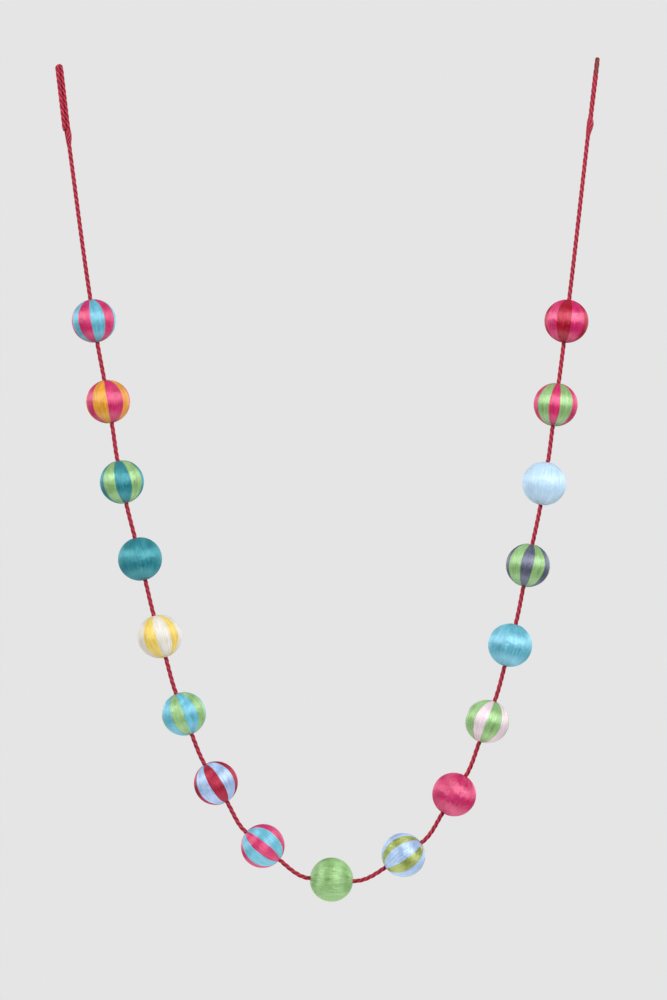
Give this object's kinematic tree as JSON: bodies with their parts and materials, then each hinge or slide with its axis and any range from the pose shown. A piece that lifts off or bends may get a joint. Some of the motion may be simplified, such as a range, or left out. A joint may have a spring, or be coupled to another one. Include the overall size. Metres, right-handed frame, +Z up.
{
  "type": "hanging garland of thread-wound balls on a looped cord",
  "caption": "Hanging string of satin thread-wound balls, plain and striped pole to pole, threaded on a red twisted cord with a spliced loop at each end.",
  "frame": {"origin": "the point inside the bend of the left loop that bears on whatever the garland hangs from", "axes": "+Z up; the garland hangs in the XZ plane, from the left loop towards the right one along +X, and faces -Y"},
  "size_m": [0.4949, 0.04, 0.768],
  "materials": {
    "thread_pink_and_aqua": "satin thread wound pole to pole",
    "thread_pink_and_orange": "satin thread wound pole to pole",
    "thread_teal_and_green": "satin thread wound pole to pole",
    "thread_teal": "satin thread wound pole to pole",
    "thread_cream_and_yellow": "satin thread wound pole to pole",
    "thread_green_and_sky_blue": "satin thread wound pole to pole",
    "thread_crimson_and_pale_blue": "satin thread wound pole to pole",
    "thread_pink_and_turquoise": "satin thread wound pole to pole",
    "thread_green": "satin thread wound pole to pole",
    "thread_pale_blue_and_olive": "satin thread wound pole to pole",
    "thread_hot_pink": "satin thread wound pole to pole",
    "thread_green_and_pale_pink": "satin thread wound pole to pole",
    "thread_aqua": "satin thread wound pole to pole",
    "thread_slate_and_green": "satin thread wound pole to pole",
    "thread_ice_blue": "satin thread wound pole to pole",
    "thread_pink_and_green": "satin thread wound pole to pole",
    "thread_red_and_pink": "satin thread wound pole to pole",
    "cord": "three-strand twisted cord, soft sheen"
  },
  "bodies": {
    "root": {"ball_01": "thread_pink_and_aqua", "ball_02": "thread_pink_and_orange", "ball_03": "thread_teal_and_green", "ball_04": "thread_teal", "ball_05": "thread_cream_and_yellow", "ball_06": "thread_green_and_sky_blue", "ball_07": "thread_crimson_and_pale_blue", "ball_08": "thread_pink_and_turquoise", "ball_09": "thread_green", "ball_10": "thread_pale_blue_and_olive", "ball_11": "thread_hot_pink", "ball_12": "thread_green_and_pale_pink", "ball_13": "thread_aqua", "ball_14": "thread_slate_and_green", "ball_15": "thread_ice_blue", "ball_16": "thread_pink_and_green", "ball_17": "thread_red_and_pink", "cord": "cord", "splice_left": "cord", "splice_right": "cord"}
  },
  "joints": []
}
